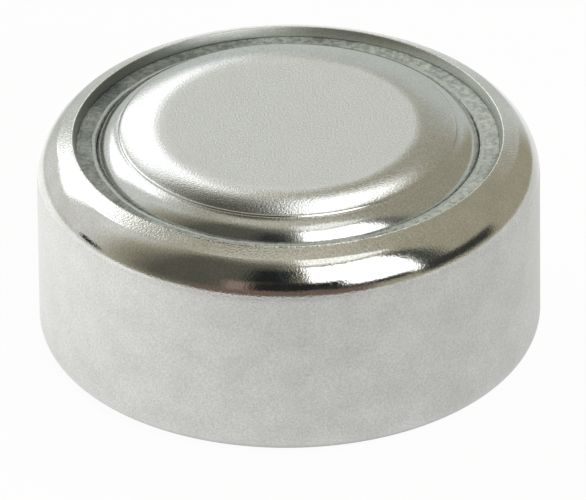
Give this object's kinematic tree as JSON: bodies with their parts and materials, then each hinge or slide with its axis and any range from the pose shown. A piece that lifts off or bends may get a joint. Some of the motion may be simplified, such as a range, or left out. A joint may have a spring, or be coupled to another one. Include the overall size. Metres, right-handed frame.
{
  "type": "silver oxide button cell",
  "caption": "Round button cell: a can with a rolled rim, crimped over a gasket that grips a stepped contact cap.",
  "frame": {"origin": "centre of the can's flat base, on the cell's axis", "axes": "+Z along the cell's axis, from the can's base (positive) to the cap's contact face (negative)"},
  "size_m": [0.0116, 0.0116, 0.0054],
  "materials": {
    "can_nickel": "satin",
    "silver_oxide": "matte",
    "ring_nickel": "satin",
    "membrane_film": "satin",
    "pad_nonwoven": "matte",
    "zinc_gel": "matte",
    "gasket_nylon": "satin",
    "cup_nickel": "satin"
  },
  "bodies": {
    "root": {"cathode_can": "can_nickel", "cathode_pellet": "silver_oxide", "support_ring": "ring_nickel", "barrier_membrane": "membrane_film", "absorbent_pad": "pad_nonwoven", "zinc_anode": "zinc_gel", "sealing_gasket": "gasket_nylon", "anode_cup": "cup_nickel"}
  },
  "joints": []
}
